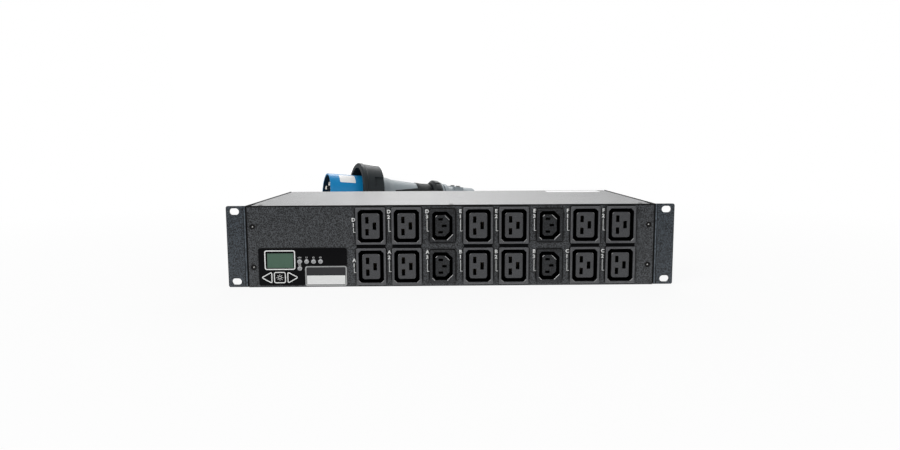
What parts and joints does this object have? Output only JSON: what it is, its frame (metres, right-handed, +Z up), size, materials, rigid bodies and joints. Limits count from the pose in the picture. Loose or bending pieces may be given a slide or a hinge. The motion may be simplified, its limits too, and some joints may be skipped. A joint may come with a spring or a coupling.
{
  "type": "rack power distribution unit",
  "caption": "Two-unit rack power distribution unit with large and small outlets in banks, a display with keys, rear breakers, and a coiled supply cord with an industrial plug.",
  "frame": {"origin": "on the base, under the middle of the unit without its cord and plug", "axes": "+Z up, the outlets face -Y, +X to the right seen from the front"},
  "size_m": [0.4963, 0.6839, 0.1197],
  "materials": {
    "case_paint": "fine textured powder coat",
    "screw_metal": "black zinc",
    "outlet_plastic": "fine moulded texture",
    "contact_metal": "bright",
    "overlay_gloss": "gloss",
    "screen_green": "smooth",
    "board_green": "solder mask",
    "spacer_metal": "plated",
    "light_dome": "clear moulded",
    "key_black": "satin",
    "breaker_black": "satin",
    "rocker_black": "satin",
    "port_metal": "plated",
    "gland_black": "moulded",
    "terminal_grey": "moulded",
    "bar_copper": "bare",
    "cord_rubber": "matt",
    "tie_strap": "woven",
    "collar_blue": "moulded",
    "pin_metal": "nickel plate",
    "ring_dark": "moulded",
    "plug_grey": "moulded",
    "nut_dark": "moulded"
  },
  "bodies": {
    "unit": {"chassis_tray": "case_paint", "top_cover": "case_paint", "front_panel": "case_paint", "rack_ear_left": "case_paint", "rack_ear_right": "case_paint", "front_panel_screws": "screw_metal", "cover_screws": "screw_metal", "ear_screws": "screw_metal", "plug_clamp_screws": "screw_metal", "outlet_d1": "outlet_plastic", "outlet_d2": "outlet_plastic", "outlet_d3": "outlet_plastic", "outlet_e1": "outlet_plastic", "outlet_e2": "outlet_plastic", "outlet_e3": "outlet_plastic", "outlet_f1": "outlet_plastic", "outlet_f2": "outlet_plastic", "outlet_a1": "outlet_plastic", "outlet_a2": "outlet_plastic", "outlet_a3": "outlet_plastic", "outlet_b1": "outlet_plastic", "outlet_b2": "outlet_plastic", "outlet_b3": "outlet_plastic", "outlet_c1": "outlet_plastic", "outlet_c2": "outlet_plastic", "outlet_contacts": "contact_metal", "keypad_overlay": "overlay_gloss", "lcd_module": "screen_green", "display_board": "board_green", "metering_board": "board_green", "board_spacers": "spacer_metal", "status_lights": "light_dome", "breaker_cases": "breaker_black", "current_sensors": "breaker_black", "network_module": "port_metal", "cable_gland": "gland_black", "gland_locknut": "gland_black", "gland_nut": "gland_black", "terminal_block": "terminal_grey", "busbar_supports": "terminal_grey", "busbars": "bar_copper", "cord_lead": "cord_rubber", "cord_coil": "cord_rubber", "cord_tail": "cord_rubber", "coil_ties": "tie_strap", "plug_collar": "collar_blue", "plug_pins": "pin_metal", "plug_body": "plug_grey", "plug_clamp": "plug_grey", "plug_gland_nut": "nut_dark"},
    "rocker_a": {"rocker_a": "rocker_black"},
    "rocker_b": {"rocker_b": "rocker_black"},
    "rocker_c": {"rocker_c": "rocker_black"},
    "rocker_d": {"rocker_d": "rocker_black"},
    "rocker_e": {"rocker_e": "rocker_black"},
    "rocker_f": {"rocker_f": "rocker_black"},
    "left_key": {"left_key": "key_black"},
    "select_key": {"select_key": "key_black"},
    "right_key": {"right_key": "key_black"},
    "plug_ring": {"plug_ring": "ring_dark"}
  },
  "joints": [
    {"name": "rocker_a_tilt", "type": "hinge", "parent": "unit", "child": "rocker_a", "pos_m": [-0.188, 0.10525, 0.044], "axis": [1, 0, 0], "range_deg": [-20, 0]},
    {"name": "rocker_b_tilt", "type": "hinge", "parent": "unit", "child": "rocker_b", "pos_m": [-0.164, 0.10525, 0.044], "axis": [1, 0, 0], "range_deg": [-20, 0]},
    {"name": "rocker_c_tilt", "type": "hinge", "parent": "unit", "child": "rocker_c", "pos_m": [-0.14, 0.10525, 0.044], "axis": [1, 0, 0], "range_deg": [-20, 0]},
    {"name": "rocker_d_tilt", "type": "hinge", "parent": "unit", "child": "rocker_d", "pos_m": [-0.116, 0.10525, 0.044], "axis": [1, 0, 0], "range_deg": [-20, 0]},
    {"name": "rocker_e_tilt", "type": "hinge", "parent": "unit", "child": "rocker_e", "pos_m": [-0.092, 0.10525, 0.044], "axis": [1, 0, 0], "range_deg": [-20, 0]},
    {"name": "rocker_f_tilt", "type": "hinge", "parent": "unit", "child": "rocker_f", "pos_m": [-0.068, 0.10525, 0.044], "axis": [1, 0, 0], "range_deg": [-20, 0]},
    {"name": "left_key_press", "type": "slide", "parent": "unit", "child": "left_key", "axis": [0, 1, 0], "range_m": [0, 0.0006], "stiffness_N_per_m": 800},
    {"name": "select_key_press", "type": "slide", "parent": "unit", "child": "select_key", "axis": [0, 1, 0], "range_m": [0, 0.0006], "stiffness_N_per_m": 800},
    {"name": "right_key_press", "type": "slide", "parent": "unit", "child": "right_key", "axis": [0, 1, 0], "range_m": [0, 0.0006], "stiffness_N_per_m": 800},
    {"name": "plug_ring_turn", "type": "hinge", "parent": "unit", "child": "plug_ring", "pos_m": [-0.225, 0.43025, 0.0659], "axis": [0.9257, 0.3665, -0.0932], "range_deg": [0, 40]}
  ]
}
